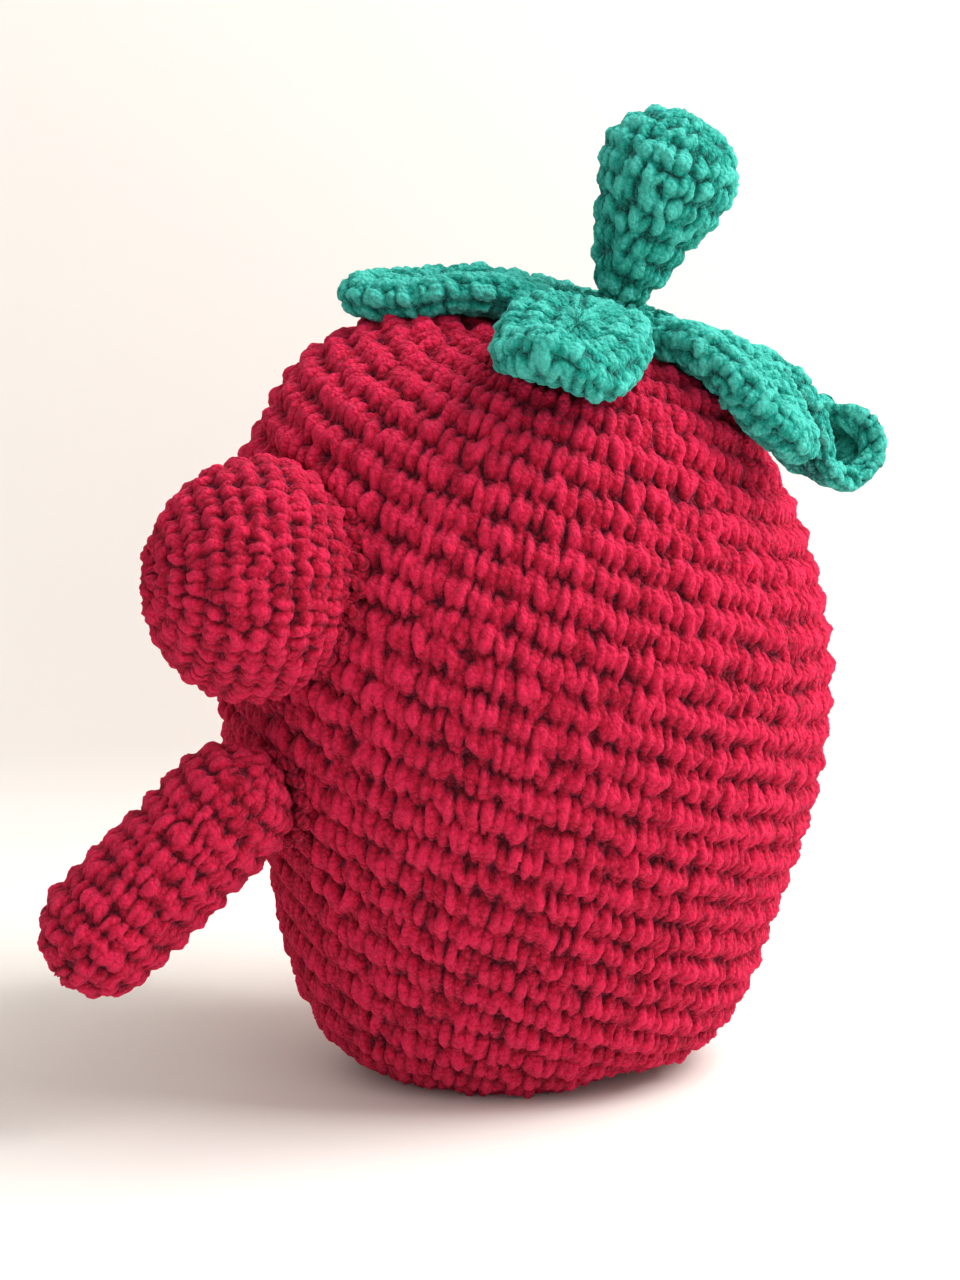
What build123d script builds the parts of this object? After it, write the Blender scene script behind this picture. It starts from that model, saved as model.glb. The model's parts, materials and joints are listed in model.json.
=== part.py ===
from build123d import *

import os
from math import acos, cos, degrees, radians, sin

# A stuffed tomato, crocheted from thick chenille yarn: round body, two round cheeks,
# two arms, two domed eyes, and a calyx of five leaves with a club-shaped stem.
# Millimetres, +Z up, the face looks along -Y, and the flat base rests on Z = 0.

# Fabric
FABRIC = 6.0        # thickness of a crocheted wall
LAYER_GAP = 0.3     # between a cover and its stuffing, and between sewn pieces
PIVOT_GAP = 0.6     # between a moving end and what it is sewn to
YARN_R = 1.5        # radius of a strand of sewing yarn, pulled tight

# Body: round about the Z axis. Its side is a run of tangent arcs: the turn up from
# the flat base, the lower side, the upper side, the shoulder and the crown's cap.
BELLY_Z = 115.0     # where it is widest
BELLY_R = 82.0
BASE_TURN_R = 30.0
LOWER_SIDE_R = 200.0
LOWER_SIDE_SWEEP = 30.0
UPPER_SIDE_R = 140.0
UPPER_SIDE_SWEEP = 27.0
SHOULDER_R = 40.0
CAP_R = 100.0

# Cheeks: stuffed balls sewn to the body on either side of the face
CHEEK_R = 30.0
CHEEK_REACH = 92.0  # from the body's axis to the ball's centre
CHEEK_TURN = 47.8   # from the face's centre line
CHEEK_Z = 145.0
CHEEK_SEAM_W = 2.2

# Arms: stuffed tubes with two round ends, sewn on under the cheeks
ARM_R = 15.5
ARM_LENGTH = 48.0   # between the centres of the two ends
ARM_REACH = 96.4
ARM_TURN = 45.0
ARM_Z = 87.0
ARM_FALL = 43.0     # below level
ARM_SPREAD = 15.0   # outward from straight ahead
ARM_SEAM_R = 12.0

# Eyes: safety eyes, a dome and shank with a locking washer inside the cover
EYE_TURN = 13.0
EYE_SLOPE = 31.0    # above level, which also sets where on the shoulder it sits
EYE_R = 4.5
EYE_RISE = 3.2
SHANK_R = 2.0
SHANK_LENGTH = 11.0
SHANK_PLAY = 0.15
WASHER_R = 6.0
WASHER_T = 1.6
WASHER_BACK = 8.0   # from the dome's back face to the washer's middle

# Calyx: a crocheted disc and five leaves that flex where they leave it
CROWN_TILT = 16.3   # the calyx sits behind the body's axis, so it tilts back
DISC_R = 20.0
DISC_T = 7.0
LEAF_T = 7.0
LEAF_PIVOT = 24.2
LEAF_PIVOT_H = 4.0
LEAF_ROOT_HALF = 10.0
LEAF_HALF = 17.0
LEAF_TURNS = (-84.0, -6.0, 62.0, 126.0, 198.0)  # about the crown, from the toy's left
LEAF_BENDS = (
    # straight run, then the bends in order: radius, sweep in degrees (positive turns up)
    (3.0, ((50.0, -27.0), (50.0, 24.0))),
    (6.0, ((45.0, -30.0), (15.0, 90.0))),
    (4.0, ((38.0, -34.0), (40.0, 22.0))),
    (12.0, ((39.0, -66.0), (9.0, 256.0))),
    (6.0, ((50.0, -22.0), (45.0, 24.0))),
)
LEAF_NAMES = ("front", "left_front", "left_back", "right_back", "right_front")
CALYX_SEAM_R = 15.0
CALYX_YARN_R = 1.1

# Stem: a stuffed club standing on the disc
STEM_BASE_R = 9.0
STEM_PROFILE = ((9.2, 4.0), (11.5, 10.5), (16.0, 20.0), (19.4, 31.5), (16.5, 41.0))
STEM_TOP = 47.0     # above the pivot
STEM_FABRIC = 5.5
STEM_SEAM_R = 7.0
STEM_YARN_R = 1.1


def off_axis(centre, radius, slope):
    """The point of an arc where the outward normal is that many degrees above level."""
    return centre[0] + radius * cos(radians(slope)), centre[1] + radius * sin(radians(slope))


def body_arcs():
    """The side's arcs, bottom to top: centre (distance from the axis, height), radius, two slopes."""
    low = (BELLY_R - LOWER_SIDE_R, BELLY_Z)
    high = (BELLY_R - UPPER_SIDE_R, BELLY_Z)
    turn = off_axis(low, LOWER_SIDE_R - BASE_TURN_R, -LOWER_SIDE_SWEEP)
    shoulder = off_axis(high, UPPER_SIDE_R - SHOULDER_R, UPPER_SIDE_SWEEP)
    cap_slope = degrees(acos(shoulder[0] / (CAP_R - SHOULDER_R)))
    cap = off_axis(shoulder, SHOULDER_R - CAP_R, cap_slope)
    return (
        (turn, BASE_TURN_R, -90, -LOWER_SIDE_SWEEP),
        (low, LOWER_SIDE_R, -LOWER_SIDE_SWEEP, 0),
        (high, UPPER_SIDE_R, 0, UPPER_SIDE_SWEEP),
        (shoulder, SHOULDER_R, UPPER_SIDE_SWEEP, cap_slope),
        (cap, CAP_R, cap_slope, 90),
    )


def body_form(grow):
    """The body as a solid, grown by that much; negative shrinks it."""
    with BuildSketch(Plane.XZ) as half_side:
        with BuildLine():
            for centre, radius, start, end in body_arcs():
                spots = (off_axis(centre, radius + grow, a) for a in (start, (start + end) / 2, end))
                ThreePointArc(*spots)
            turn, radius, start, end = body_arcs()[0]
            foot = off_axis(turn, radius + grow, start)
            cap, radius, start, end = body_arcs()[-1]
            top = off_axis(cap, radius + grow, end)
            Polyline(top, (0, foot[1]), foot)
        make_face()
    return revolve(half_side.sketch, Axis.Z)


def around(reach, turn, z):
    """A point at that distance from the body's axis, turned from straight ahead towards +X."""
    return Vector(reach * sin(radians(turn)), -reach * cos(radians(turn)), z)


def level(turn):
    """The level direction that is turned from straight ahead towards +X."""
    return Vector(sin(radians(turn)), -cos(radians(turn)), 0)


def ball(centre, radius):
    return Pos(*centre) * Sphere(radius)


def mirrored(shape):
    """The same piece on the other side of the face."""
    return mirror(shape, Plane.YZ)


def tube(start, end, radius):
    """A tube from start to end with two round ends."""
    way = end - start
    shaft = Plane(start, z_dir=way) * Cylinder(
        radius, way.length, align=(Align.CENTER, Align.CENTER, Align.MIN)
    )
    return shaft + ball(start, radius) + ball(end, radius)


def crown_plane():
    """The calyx's own frame: origin on the crown, Z out of it, Y towards the back."""
    cap, radius, start, end = body_arcs()[-1]
    up = Vector(0, sin(radians(CROWN_TILT)), cos(radians(CROWN_TILT)))
    return Plane(Vector(0, 0, cap[1]) + up * radius, x_dir=(1, 0, 0), z_dir=up)


def leaf_outline(length):
    """The leaf seen from above, along +X from its pivot, as a long rounded blade."""
    half_root, half = LEAF_ROOT_HALF, LEAF_HALF
    with BuildSketch() as outline:
        with BuildLine():
            Polyline((0, half_root), (-LEAF_T, half_root), (-LEAF_T, -half_root), (0, -half_root))
            Spline(
                (0, -half_root),
                (0.45 * length, -half),
                (length, 0),
                (0.45 * length, half),
                (0, half_root),
                tangents=((1, -0.35), (-1, -0.35)),
            )
        make_face()
    return extrude(outline.sketch, 40, both=True)


def leaf_arcs(run, bends):
    """The bends of the leaf's middle line: centre, radius, side, and heading at start and end."""
    spot, heading = (run, 0), 0
    arcs = []
    for radius, sweep in bends:
        side = 1 if sweep > 0 else -1
        centre = (
            spot[0] - side * radius * sin(radians(heading)),
            spot[1] + side * radius * cos(radians(heading)),
        )
        arcs.append((centre, radius, side, heading, heading + sweep))
        heading += sweep
        spot = on_bend(centre, radius, side, heading)
    return arcs


def on_bend(centre, radius, side, heading):
    """The point of a bend where the leaf has that heading."""
    turn = radians(heading)
    return centre[0] + side * radius * sin(turn), centre[1] - side * radius * cos(turn)


def leaf_strip(run, bends):
    """The leaf seen from the side: a round root, a straight run, its bends and a round end."""
    half = LEAF_T / 2
    arcs = leaf_arcs(run, bends)

    def edge(arc, offset, part):
        centre, radius, side, start, end = arc
        return on_bend(centre, radius + side * offset, side, start + (end - start) * part)

    with BuildSketch(Plane.XZ) as strip:
        with BuildLine():
            Line((0, -half), (run, -half))
            for arc in arcs:
                ThreePointArc(*(edge(arc, half, part) for part in (0, 0.5, 1)))
            last = arcs[-1]
            middle = edge(last, 0, 1)
            ahead = radians(last[4])
            nose = (middle[0] + half * cos(ahead), middle[1] + half * sin(ahead))
            ThreePointArc(edge(last, half, 1), nose, edge(last, -half, 1))
            for arc in reversed(arcs):
                ThreePointArc(*(edge(arc, -half, part) for part in (1, 0.5, 0)))
            Line((run, half), (0, half))
            ThreePointArc((0, half), (-half, 0), (0, -half))
        make_face()
    return extrude(strip.sketch, LEAF_HALF + 2, both=True)


def leaf(index):
    """One leaf, placed on the crown and turned to its place."""
    run, bends = LEAF_BENDS[index]
    blade = leaf_strip(run, bends)
    blade &= leaf_outline(blade.bounding_box().max.X + 1)
    return crown_plane() * Rot(0, 0, LEAF_TURNS[index]) * Pos(LEAF_PIVOT, 0, LEAF_PIVOT_H) * blade


def stem_form(shrink):
    """The stem about its own pivot: a round foot, a waist and a bulb, shrunk by that much."""
    foot = STEM_BASE_R - shrink
    with BuildSketch(Plane.XZ) as half_side:
        with BuildLine():
            ThreePointArc((0, -foot), (foot * sin(radians(45)), -foot * cos(radians(45))), (foot, 0))
            Spline(
                (foot, 0),
                *[(radius - shrink, height) for radius, height in STEM_PROFILE],
                (0, STEM_TOP - shrink),
                tangents=((0, 1), (-1, 0)),
            )
            Line((0, STEM_TOP - shrink), (0, -foot))
        make_face()
    return revolve(half_side.sketch, Axis.Z)


def eye_plane():
    """The left eye's frame: origin on the shoulder's surface, Z out of it."""
    shoulder, radius, start, end = body_arcs()[-2]
    reach, height = off_axis(shoulder, radius, EYE_SLOPE)
    slope = radians(EYE_SLOPE)
    out = level(EYE_TURN) * cos(slope) + Vector(0, 0, sin(slope))
    return Plane(around(reach, EYE_TURN, height), z_dir=out)


def eye():
    """A domed eye with its shank behind it."""
    dome_r = (EYE_R**2 + EYE_RISE**2) / (2 * EYE_RISE)
    dome = Pos(0, 0, EYE_RISE - dome_r) * Sphere(dome_r)
    above = Box(20, 20, 20, align=(Align.CENTER, Align.CENTER, Align.MIN))
    shank = Cylinder(SHANK_R, SHANK_LENGTH, align=(Align.CENTER, Align.CENTER, Align.MAX))
    return (dome & above) + shank


def eye_washer():
    washer = Cylinder(WASHER_R, WASHER_T) - Cylinder(SHANK_R + SHANK_PLAY, WASHER_T)
    return Pos(0, 0, -WASHER_BACK) * washer


def bead(start, way, radius):
    """A round wall about a line, as wide as a strand of yarn."""
    place = Plane(start, z_dir=way)
    outer = Cylinder(radius + YARN_R, 60)
    return place * (outer - Cylinder(radius - YARN_R, 60))


def write(name, shape):
    export_step(shape, f"parts/{name}.step")


def write_pair(stem, end, shape):
    write(f"{stem}_left{end}", shape)
    write(f"{stem}_right{end}", mirrored(shape))


os.makedirs("parts", exist_ok=True)

# Body
outside = body_form(0)
near_outside = body_form(LAYER_GAP)
seam_outside = body_form(LAYER_GAP + 2 * YARN_R)
filling = body_form(-FABRIC - LAYER_GAP)
eye_at = eye_plane()
shank_hole = eye_at * Cylinder(SHANK_R + SHANK_PLAY, 4 * FABRIC)
eye_seat = eye_at * Pos(0, 0, 2 - LAYER_GAP) * Cylinder(EYE_R + LAYER_GAP, 4)
washer_pocket = eye_at * Pos(0, 0, -SHANK_LENGTH / 2) * Cylinder(
    WASHER_R + LAYER_GAP, SHANK_LENGTH + 2 * LAYER_GAP
)
body_cover = outside - body_form(-FABRIC)
for cut in (shank_hole, eye_seat):
    body_cover = body_cover - cut - mirrored(cut)
write("body_cover", body_cover)
write("body_stuffing", filling - washer_pocket - mirrored(washer_pocket))

# Eyes
write_pair("eye", "", eye_at * eye())
write_pair("eye", "_washer", eye_at * eye_washer())

# Cheeks
cheek_at = around(CHEEK_REACH, CHEEK_TURN, CHEEK_Z)
inner_r = CHEEK_R - FABRIC
write_pair("cheek", "_cover", ball(cheek_at, CHEEK_R) - ball(cheek_at, inner_r) - near_outside)
write_pair("cheek", "_stuffing", ball(cheek_at, inner_r - LAYER_GAP) - near_outside)
cheek_bead = ball(cheek_at, CHEEK_R + CHEEK_SEAM_W) - ball(cheek_at, CHEEK_R + LAYER_GAP)
write_pair("cheek", "_seam", (cheek_bead & seam_outside) - near_outside)

# Arms
arm_at = around(ARM_REACH, ARM_TURN, ARM_Z)
fall, spread = radians(ARM_FALL), radians(ARM_SPREAD)
arm_way = Vector(cos(fall) * sin(spread), -cos(fall) * cos(spread), -sin(fall))
arm_tip = arm_at + arm_way * ARM_LENGTH
arm_inner_r = ARM_R - FABRIC
write_pair("arm", "_cover", tube(arm_at, arm_tip, ARM_R) - tube(arm_at, arm_tip, arm_inner_r))
write_pair("arm", "_stuffing", tube(arm_at, arm_tip, arm_inner_r - LAYER_GAP))
arm_bead = bead(arm_at, level(ARM_TURN), ARM_SEAM_R)
write_pair("arm", "_seam", (arm_bead & seam_outside) - near_outside)

# Calyx
crown = crown_plane()
disc = Pos(0, 0, LAYER_GAP + DISC_T / 2) * Cylinder(DISC_R, DISC_T)
write("calyx_disc", crown * fillet(disc.edges(), 2.5))
disc_top = LAYER_GAP + DISC_T
write("calyx_seam", crown * Pos(0, 0, disc_top + LAYER_GAP + CALYX_YARN_R) * Torus(CALYX_SEAM_R, CALYX_YARN_R))
for i, name in enumerate(LEAF_NAMES):
    write(f"leaf_{name}", leaf(i))

# Stem
stem_at = crown * Pos(0, 0, disc_top + PIVOT_GAP + STEM_BASE_R)
write("stem_cover", stem_at * (stem_form(0) - stem_form(STEM_FABRIC)))
write("stem_stuffing", stem_at * stem_form(STEM_FABRIC + LAYER_GAP))
write("stem_seam", crown * Pos(0, 0, disc_top + LAYER_GAP + STEM_YARN_R) * Torus(STEM_SEAM_R, STEM_YARN_R))
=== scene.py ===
"""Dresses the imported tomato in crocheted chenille: covers, calyx, stem, seams, stuffing and eyes.

Lengths inside the classes are millimetres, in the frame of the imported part; a mesh is written in
metres. The face looks along -Y and +X is the toy's own left side.
"""

from __future__ import annotations

import json
import logging
import math
from dataclasses import dataclass
from enum import Enum

import bpy
import numpy as np
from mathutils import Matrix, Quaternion, Vector

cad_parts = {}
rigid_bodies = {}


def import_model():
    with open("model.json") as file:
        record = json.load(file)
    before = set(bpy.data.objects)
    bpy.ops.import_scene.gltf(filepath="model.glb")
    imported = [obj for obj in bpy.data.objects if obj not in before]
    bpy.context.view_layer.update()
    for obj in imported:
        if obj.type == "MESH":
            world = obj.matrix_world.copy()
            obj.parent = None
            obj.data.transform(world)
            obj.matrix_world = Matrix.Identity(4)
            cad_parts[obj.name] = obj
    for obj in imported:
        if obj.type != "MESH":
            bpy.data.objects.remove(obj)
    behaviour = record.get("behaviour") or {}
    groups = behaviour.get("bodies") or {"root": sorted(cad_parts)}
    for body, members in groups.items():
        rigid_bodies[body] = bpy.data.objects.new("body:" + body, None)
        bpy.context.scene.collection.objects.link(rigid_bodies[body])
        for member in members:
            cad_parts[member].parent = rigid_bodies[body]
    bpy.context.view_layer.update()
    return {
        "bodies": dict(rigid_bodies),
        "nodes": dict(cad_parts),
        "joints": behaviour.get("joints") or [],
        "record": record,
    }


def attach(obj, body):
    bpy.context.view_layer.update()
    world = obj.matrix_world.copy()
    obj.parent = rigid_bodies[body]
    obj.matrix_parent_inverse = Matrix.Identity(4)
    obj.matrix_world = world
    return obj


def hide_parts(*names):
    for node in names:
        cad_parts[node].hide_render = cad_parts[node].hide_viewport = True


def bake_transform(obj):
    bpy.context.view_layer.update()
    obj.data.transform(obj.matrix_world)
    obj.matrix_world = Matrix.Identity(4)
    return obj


LOG = logging.getLogger("tomato")
MM = 0.001
WALL = 4.5  # thickness of the fabric of the sewn-on parts
LINING = 6.2  # from their surface down to their stuffing
CLEAR = 0.05  # height of the lowest stitches over the floor
Array = np.ndarray


class Side(Enum):
    """The toy's own two sides, by the sign of X."""

    LEFT = 1
    RIGHT = -1


# ---------------------------------------------------------------- finishes


def link(tree: bpy.types.NodeTree, start: bpy.types.NodeSocket, end: bpy.types.NodeSocket) -> None:
    """Joins two sockets of one material.

    Args:
        tree: the material's nodes.
        start: the output.
        end: the input.
    """
    tree.links.new(start, end)


def fresh(name: str) -> tuple[bpy.types.Material, bpy.types.NodeTree, bpy.types.Node]:
    """Starts a material.

    Args:
        name: the material's name.

    Returns:
        The material, its nodes and its main shader.
    """
    made = bpy.data.materials.new(name)
    made.use_nodes = True
    return made, made.node_tree, made.node_tree.nodes["Principled BSDF"]


def texture(tree: bpy.types.NodeTree, kind: str, **values: float) -> bpy.types.Node:
    """Adds a texture in Object coordinates.

    Args:
        tree: the material's nodes.
        kind: the texture's node type.
        values: its inputs, by name.

    Returns:
        The texture's node.
    """
    node = tree.nodes.new(kind)
    for name, value in values.items():
        node.inputs[name].default_value = value
    link(tree, tree.nodes.new("ShaderNodeTexCoord").outputs["Object"], node.inputs["Vector"])
    return node


def bumped(tree: bpy.types.NodeTree, height: bpy.types.NodeSocket, distance: float) -> None:
    """Makes a height the shader's fine relief.

    Args:
        tree: the material's nodes.
        height: the height.
        distance: metres for a height of 1.
    """
    bump = tree.nodes.new("ShaderNodeBump")
    bump.inputs["Strength"].default_value = 1.0
    bump.inputs["Distance"].default_value = distance
    link(tree, height, bump.inputs["Height"])
    link(tree, bump.outputs["Normal"], tree.nodes["Principled BSDF"].inputs["Normal"])


def ramp(tree: bpy.types.NodeTree, stops: list[tuple[float, tuple[float, float, float]]]) -> bpy.types.Node:
    """Adds a colour ramp.

    Args:
        tree: the material's nodes.
        stops: place and colour of each stop, in order.

    Returns:
        The ramp's node.
    """
    node = tree.nodes.new("ShaderNodeValToRGB")
    while len(node.color_ramp.elements) < len(stops):
        node.color_ramp.elements.new(0.5)
    for element, (place, colour) in zip(node.color_ramp.elements, stops):
        element.position = place
        element.color = (*colour, 1)
    return node


@dataclass(frozen=True)
class Chenille:
    """Thick velvety yarn: painted shade darkens it between the stitches and painted highlight lightens the
    lobes, under a soft clumped pile.
    """

    name: str
    # The darkest colour is painted shade for the grooves between the stitches, the lightest a painted
    # highlight for the lobes; wool is the yarn's own colour.
    painted_groove_shade: tuple[float, float, float]
    wool: tuple[float, float, float]
    painted_crest_highlight: tuple[float, float, float]
    sheen_tint: tuple[float, float, float]
    sheen: float = 0.35
    clump_scale: float = 760.0
    pile_scale: float = 2300.0
    patch_scale: float = 45.0
    pile_height: float = 0.0019
    darkest: float = 0.38
    lightest: float = 1.52

    @staticmethod
    def add(
        tree: bpy.types.NodeTree, what: bpy.types.NodeSocket, share: float, to: bpy.types.NodeSocket | float
    ) -> bpy.types.NodeSocket:
        """Adds a share of one value to another.

        Args:
            tree: the material's nodes.
            what: the value to add a share of.
            share: the share.
            to: the value or number to add it to.

        Returns:
            The sum.
        """
        node = tree.nodes.new("ShaderNodeMath")
        node.operation = "MULTIPLY_ADD"
        node.inputs[1].default_value = share
        link(tree, what, node.inputs[0])
        if isinstance(to, float):
            node.inputs[2].default_value = to
        else:
            link(tree, to, node.inputs[2])
        return node.outputs[0]

    def material(self) -> bpy.types.Material:
        """Makes the yarn's material.

        Returns:
            A material that reads the piece's own "stitch" attribute of painted shade and highlight, and
            Object coordinates.
        """
        made, tree, shader = fresh(self.name)
        stitch = tree.nodes.new("ShaderNodeAttribute")
        stitch.attribute_name = "stitch"
        clumps = texture(tree, "ShaderNodeTexVoronoi", Scale=self.clump_scale)
        clumps.feature = "SMOOTH_F1"
        clumps.inputs["Smoothness"].default_value = 0.35
        pile = texture(tree, "ShaderNodeTexNoise", Scale=self.pile_scale, Detail=3, Roughness=0.62)
        patch = texture(tree, "ShaderNodeTexNoise", Scale=self.patch_scale, Detail=2, Roughness=0.62)

        # The colour follows the "stitch" attribute's painted shade and highlight, moved about by random pile
        # and patch tone.
        level = self.add(tree, clumps.outputs["Distance"], -0.6, stitch.outputs["Fac"])
        level = self.add(tree, pile.outputs["Fac"], 1.0, level)
        level = self.add(tree, patch.outputs["Fac"], 0.35, level)
        spread = tree.nodes.new("ShaderNodeMapRange")
        spread.inputs["From Min"].default_value = self.darkest
        spread.inputs["From Max"].default_value = self.lightest
        link(tree, level, spread.inputs["Value"])
        colour = ramp(tree, [(0.0, self.painted_groove_shade), (0.5, self.wool), (1.0, self.painted_crest_highlight)])
        link(tree, spread.outputs["Result"], colour.inputs["Fac"])
        link(tree, colour.outputs["Color"], shader.inputs["Base Color"])

        height = self.add(tree, clumps.outputs["Distance"], -1.1, 1.0)
        height = self.add(tree, pile.outputs["Fac"], 0.55, height)
        bumped(tree, height, self.pile_height)
        shader.inputs["Roughness"].default_value = 0.9
        shader.inputs["Specular IOR Level"].default_value = 0.18
        shader.inputs["Sheen Weight"].default_value = self.sheen
        shader.inputs["Sheen Roughness"].default_value = 0.4
        shader.inputs["Sheen Tint"].default_value = (*self.sheen_tint, 1)
        return made


@dataclass(frozen=True)
class Fibrefill:
    """Loose white polyester stuffing."""

    name: str = "white fibrefill"

    def material(self) -> bpy.types.Material:
        """Makes the stuffing's cloudy white material.

        Returns:
            The material.
        """
        made, tree, shader = fresh(self.name)
        wisps = texture(tree, "ShaderNodeTexNoise", Scale=260, Detail=6, Distortion=1.2)
        colour = ramp(tree, [(0.3, (0.72, 0.72, 0.7)), (0.7, (0.93, 0.93, 0.91))])
        link(tree, wisps.outputs["Fac"], colour.inputs["Fac"])
        link(tree, colour.outputs["Color"], shader.inputs["Base Color"])
        bumped(tree, wisps.outputs["Fac"], 0.002)
        shader.inputs["Roughness"].default_value = 0.95
        shader.inputs["Sheen Weight"].default_value = 0.4
        return made


@dataclass(frozen=True)
class Plastic:
    """Moulded plastic, with the faint unevenness of a small cheap moulding."""

    name: str
    colour: tuple[float, float, float]
    roughness: float
    coat: float = 0.0

    def material(self) -> bpy.types.Material:
        """Makes the plastic's material.

        Returns:
            The material.
        """
        made, tree, shader = fresh(self.name)
        cloud = texture(tree, "ShaderNodeTexNoise", Scale=500)
        lighter = tuple(min(1.0, c * 1.25 + 0.004) for c in self.colour)
        colour = ramp(tree, [(0.35, self.colour), (0.75, lighter)])
        link(tree, cloud.outputs["Fac"], colour.inputs["Fac"])
        link(tree, colour.outputs["Color"], shader.inputs["Base Color"])
        wear = tree.nodes.new("ShaderNodeMapRange")
        wear.inputs["To Min"].default_value = self.roughness * 0.8
        wear.inputs["To Max"].default_value = self.roughness * 1.3
        link(tree, cloud.outputs["Fac"], wear.inputs["Value"])
        link(tree, wear.outputs["Result"], shader.inputs["Roughness"])
        shader.inputs["Coat Weight"].default_value = self.coat
        shader.inputs["Coat Roughness"].default_value = 0.04
        return made


@dataclass(frozen=True)
class Paper:
    """The pale studio surface, clear when seen from its back so that it never hides the toy."""

    name: str
    colour: tuple[float, float, float]

    def material(self) -> bpy.types.Material:
        """Makes a matte material for the side that faces the toy.

        Returns:
            The material.
        """
        made, tree, shader = fresh(self.name)
        shader.inputs["Base Color"].default_value = (*self.colour, 1)
        shader.inputs["Roughness"].default_value = 0.9
        shader.inputs["Specular IOR Level"].default_value = 0.1
        side = tree.nodes.new("ShaderNodeNewGeometry").outputs["Backfacing"]
        mix = tree.nodes.new("ShaderNodeMixShader")
        link(tree, side, mix.inputs[0])
        link(tree, shader.outputs[0], mix.inputs[1])
        link(tree, tree.nodes.new("ShaderNodeBsdfTransparent").outputs[0], mix.inputs[2])
        link(tree, mix.outputs[0], tree.nodes["Material Output"].inputs["Surface"])
        return made


# Each yarn's darkest colour is painted shade for its grooves, its lightest a painted highlight for its lobes.
RED_CHENILLE = Chenille(
    name="red chenille",
    painted_groove_shade=(0.07, 0.0004, 0.0045),
    wool=(0.53, 0.003, 0.031),
    painted_crest_highlight=(0.92, 0.018, 0.09),
    sheen_tint=(1.0, 0.14, 0.3),
)
TEAL_CHENILLE = Chenille(
    name="teal chenille",
    painted_groove_shade=(0.0006, 0.06, 0.05),
    wool=(0.0015, 0.36, 0.28),
    painted_crest_highlight=(0.09, 0.7, 0.58),
    sheen_tint=(0.2, 1.0, 0.9),
    sheen=0.5,
)
FIBREFILL = Fibrefill()
EYE_PLASTIC = Plastic("black eye plastic", (0.004, 0.004, 0.005), 0.08, 1.0)
WASHER_PLASTIC = Plastic("white washer plastic", (0.78, 0.78, 0.75), 0.45)


# ---------------------------------------------------------------- crocheted forms


def unit(v: Array) -> Array:
    """Vectors of length one, along the last axis.

    Args:
        v: the vectors.

    Returns:
        The unit vectors.
    """
    return v / np.maximum(np.linalg.norm(v, axis=-1, keepdims=True), 1e-12)


def fade(value: Array, start: float, end: float, unit_size: Array | float = 1.0) -> Array:
    """Rises smoothly from 0 to 1 as a value goes from start to end.

    Args:
        value: the values.
        start: where the rise begins, in that unit.
        end: where it ends.
        unit_size: the unit.

    Returns:
        Shares from 0 to 1.
    """
    share = np.clip((value / unit_size - start) / (end - start), 0, 1)
    return share * share * (3 - 2 * share)


def heading(turn: float, sign: int = 1) -> Array:
    """A level direction.

    Args:
        turn: degrees from straight ahead towards the toy's left.
        sign: -1 to turn to its right instead.

    Returns:
        The unit vector.
    """
    angle = math.radians(turn)
    return np.array([sign * math.sin(angle), -math.cos(angle), 0])


def circle(count: int, frame: Array) -> tuple[Array, Array]:
    """Evenly spaced directions round an axis.

    Args:
        count: how many.
        frame: three unit vectors in rows, the last one the axis.

    Returns:
        Their angles in radians, and their unit vectors.
    """
    angle = np.arange(count) * 2 * math.pi / count
    return angle, np.cos(angle)[:, None] * frame[0] + np.sin(angle)[:, None] * frame[1]


def hermite(points: Array, at: Array, closed: bool) -> Array:
    """Reads a smooth curve through points.

    Args:
        points: the points, along the first axis.
        at: places to read, counted in points from the first.
        closed: True if the last point leads back to the first.

    Returns:
        The curve's points at those places.
    """
    count = len(points)
    i = np.floor(at).astype(int)
    if not closed:
        i = np.clip(i, 0, count - 2)
    t = (at - i).reshape(-1, *([1] * (points.ndim - 1)))

    def take(k: Array) -> Array:
        """The points with those numbers, past the ends too."""
        return points[k % count] if closed else points[np.clip(k, 0, count - 1)]

    before, start, end, after = take(i - 1), take(i), take(i + 1), take(i + 2)
    leave, arrive = (end - before) / 2, (after - start) / 2
    return (
        start * (2 * t**3 - 3 * t**2 + 1)
        + leave * (t**3 - 2 * t**2 + t)
        + end * (3 * t**2 - 2 * t**3)
        + arrive * (t**3 - t**2)
    )


def spaced(line: Array, count: int) -> Array:
    """The same line with that many points, evenly spaced along it.

    Args:
        line: the points of the line.
        count: how many points to give it.

    Returns:
        The new points.
    """
    along = np.concatenate([[0], np.cumsum(np.linalg.norm(np.diff(line, axis=0), axis=1))])
    at = np.linspace(0, along[-1], count)
    return np.stack([np.interp(at, along, line[:, k]) for k in range(line.shape[1])], axis=1)


def cloud(
    rng: np.random.Generator, rows: int, columns: int, grain_rows: float, grain_columns: float
) -> Array:
    """A smooth random field that joins up round its columns.

    Args:
        rng: the random numbers to draw from.
        rows: the field's rows.
        columns: the field's columns.
        grain_rows: how many rows one lump spans.
        grain_columns: how many columns one lump spans.

    Returns:
        Values near -1 to 1.
    """
    counts = max(4, round(rows / grain_rows)), max(4, round(columns / grain_columns))
    lumps = rng.normal(0, 0.6, counts)
    tall = hermite(lumps, np.linspace(0, len(lumps) - 1, rows), closed=False)
    wide = hermite(tall.T, np.arange(columns) * lumps.shape[1] / columns, closed=True)
    return wide.T


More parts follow.
